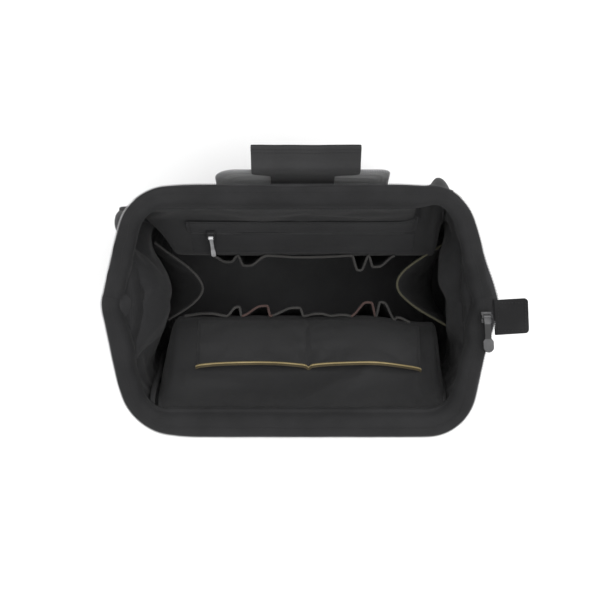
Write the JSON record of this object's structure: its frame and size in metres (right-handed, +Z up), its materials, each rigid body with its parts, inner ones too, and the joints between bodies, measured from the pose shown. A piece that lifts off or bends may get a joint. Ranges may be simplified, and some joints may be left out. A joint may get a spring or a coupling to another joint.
{
  "type": "tool backpack",
  "caption": "Wide-mouth cloth tool backpack standing open on its hinged wire frames, with inside tool pockets, zipped pocket, side pouches, carry handle and shoulder straps.",
  "frame": {"origin": "middle of the underside of the base, on the floor", "axes": "+Z up, +X to the side with the zip's end tab, +Y towards the shoulder straps, so -Y is the bag's front"},
  "size_m": [0.4213, 0.2764, 0.3449],
  "materials": {
    "shell_cloth": "coarse black woven nylon",
    "inner_cloth": "black woven lining",
    "zip_tape": "black knitted zip tape",
    "dark_binding": "dark grosgrain binding",
    "tan_binding": "tan grosgrain binding",
    "webbing": "grey-black ribbed webbing",
    "wrap_cloth": "black woven nylon with stitched edges",
    "steel": "plated metal",
    "grip": "dark grey moulded puller",
    "buckle": "black moulded plastic"
  },
  "bodies": {
    "bag": {"base_panel": "shell_cloth", "front_panel": "shell_cloth", "back_panel": "shell_cloth", "left_gusset": "shell_cloth", "right_gusset": "shell_cloth", "front_pocket_panel": "inner_cloth", "back_pocket_panel": "inner_cloth", "front_rim": "shell_cloth", "back_rim": "shell_cloth", "front_zip_tape": "zip_tape", "back_zip_tape": "zip_tape", "front_tool_pockets": "inner_cloth", "front_tool_binding": "dark_binding", "back_tool_pockets": "inner_cloth", "back_tool_binding": "dark_binding", "left_side_pocket": "inner_cloth", "left_side_binding": "dark_binding", "right_side_pocket": "inner_cloth", "right_side_binding": "dark_binding", "slip_pocket": "inner_cloth", "slip_pocket_binding": "tan_binding", "zip_pocket": "inner_cloth", "zip_pocket_tape": "zip_tape", "pocket_zip_slider": "steel", "main_zip_slider": "steel", "zip_end_tab": "shell_cloth", "handle_strap": "webbing", "handle_wrap": "wrap_cloth", "left_shoulder_strap": "shell_cloth", "left_lower_strap": "webbing", "left_adjuster": "buckle", "right_shoulder_strap": "shell_cloth", "right_lower_strap": "webbing", "right_adjuster": "buckle"},
    "pocket_puller": {"pocket_zip_puller": "steel"},
    "main_puller": {"main_zip_puller": "grip"}
  },
  "joints": [
    {"name": "pocket_puller_swing", "type": "hinge", "parent": "bag", "child": "pocket_puller", "pos_m": [-0.09033, 0.05654, 0.25275], "axis": [-1, 0, 0], "range_deg": [0, 150]},
    {"name": "main_puller_swing", "type": "hinge", "parent": "bag", "child": "main_puller", "pos_m": [0.18573, -0.0215, 0.30648], "axis": [-1, 0, 0], "range_deg": [0, 145]}
  ]
}
